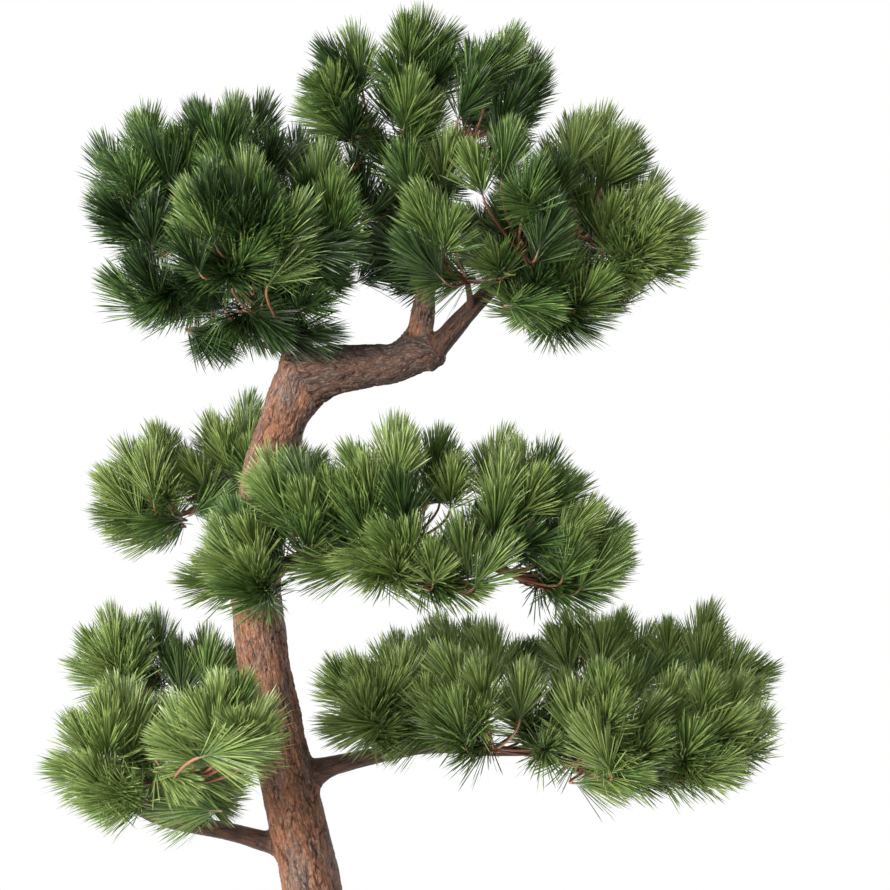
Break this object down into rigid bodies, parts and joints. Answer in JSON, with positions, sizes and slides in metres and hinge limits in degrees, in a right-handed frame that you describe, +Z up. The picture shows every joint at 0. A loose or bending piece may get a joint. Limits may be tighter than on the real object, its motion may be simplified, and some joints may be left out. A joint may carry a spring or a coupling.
{
  "type": "artificial cloud-pruned pine tree",
  "caption": "Large artificial pine in the cloud-pruned bonsai style, with a leaning bark trunk, bare boughs and shelves of long-needled foliage, fixed at its foot.",
  "frame": {"origin": "middle of the flat cut under the trunk, at ground level", "axes": "+Z up, +X to the right as seen from the front, +Y to the back"},
  "size_m": [1.475, 1.066, 2.215],
  "materials": {
    "bark": "moulded bark, painted matt",
    "bough": "smooth painted boughs and coated twigs, satin",
    "needles": "thin plastic needles in tufts, satin"
  },
  "bodies": {
    "root": {"bough_low_left": "bough", "bough_low_right": "bough", "bough_mid_back": "bough", "bough_mid_front": "bough", "crown_left_back": "needles", "crown_left_front": "needles", "crown_left_hanging": "needles", "crown_left_inner": "needles", "crown_left_low": "needles", "crown_left_outer": "needles", "crown_left_spray": "needles", "crown_left_top": "needles", "crown_right_back": "needles", "crown_right_front": "needles", "crown_right_inner": "needles", "crown_right_low": "needles", "crown_right_rear_tuft": "needles", "crown_right_tip": "needles", "crown_right_top": "needles", "crown_top_left": "needles", "crown_top_low": "needles", "crown_top_middle": "needles", "crown_top_rear": "needles", "crown_top_right": "needles", "leader_centre": "bough", "leader_right": "bough", "limb_right": "bark", "low_left_back": "needles", "low_left_far": "needles", "low_left_near": "needles", "low_left_outer": "needles", "low_left_under": "needles", "low_right_back": "needles", "low_right_back_inner": "needles", "low_right_back_tip": "needles", "low_right_front": "needles", "low_right_inner": "needles", "low_right_middle": "needles", "low_right_tip": "needles", "mid_back_inner": "needles", "mid_back_outer": "needles", "mid_back_top": "needles", "mid_front_crest": "needles", "mid_front_left": "needles", "mid_front_low": "needles", "mid_front_shoulder": "needles", "mid_front_tip": "needles", "mid_front_top": "needles", "stem_left": "bough", "trunk": "bark"}
  },
  "joints": []
}
